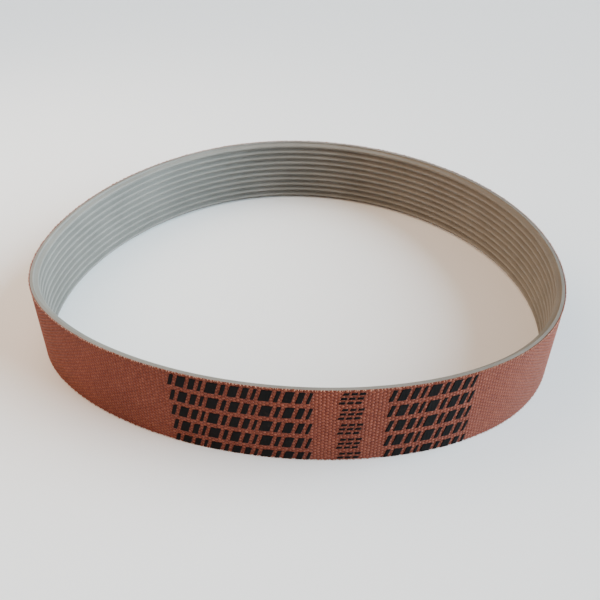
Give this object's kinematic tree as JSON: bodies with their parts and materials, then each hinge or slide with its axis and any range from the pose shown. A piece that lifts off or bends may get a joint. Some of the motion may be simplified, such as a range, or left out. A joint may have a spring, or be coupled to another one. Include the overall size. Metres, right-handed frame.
{
  "type": "ribbed v belt",
  "caption": "Endless drive belt with V ribs round the inside, a woven back and a wound tension cord inside, relaxed into its free loop shape.",
  "frame": {"origin": "middle of the loop's outline, at half the belt's width", "axes": "+Z along the belt's width, parallel to the shafts of the pulleys it runs on; +X along the loop's longest span; +Y across the loop, from its flatter side to its rounder side"},
  "size_m": [0.1342, 0.1218, 0.0204],
  "materials": {
    "woven_back": "fine twill in rust orange",
    "polyurethane": "satin light grey casting",
    "cord": "twisted pale polyester yarn"
  },
  "bodies": {
    "root": {"ribbed_body": "polyurethane", "cushion_layer": "polyurethane", "tension_cord": "cord", "back_fabric": "woven_back"}
  },
  "joints": []
}
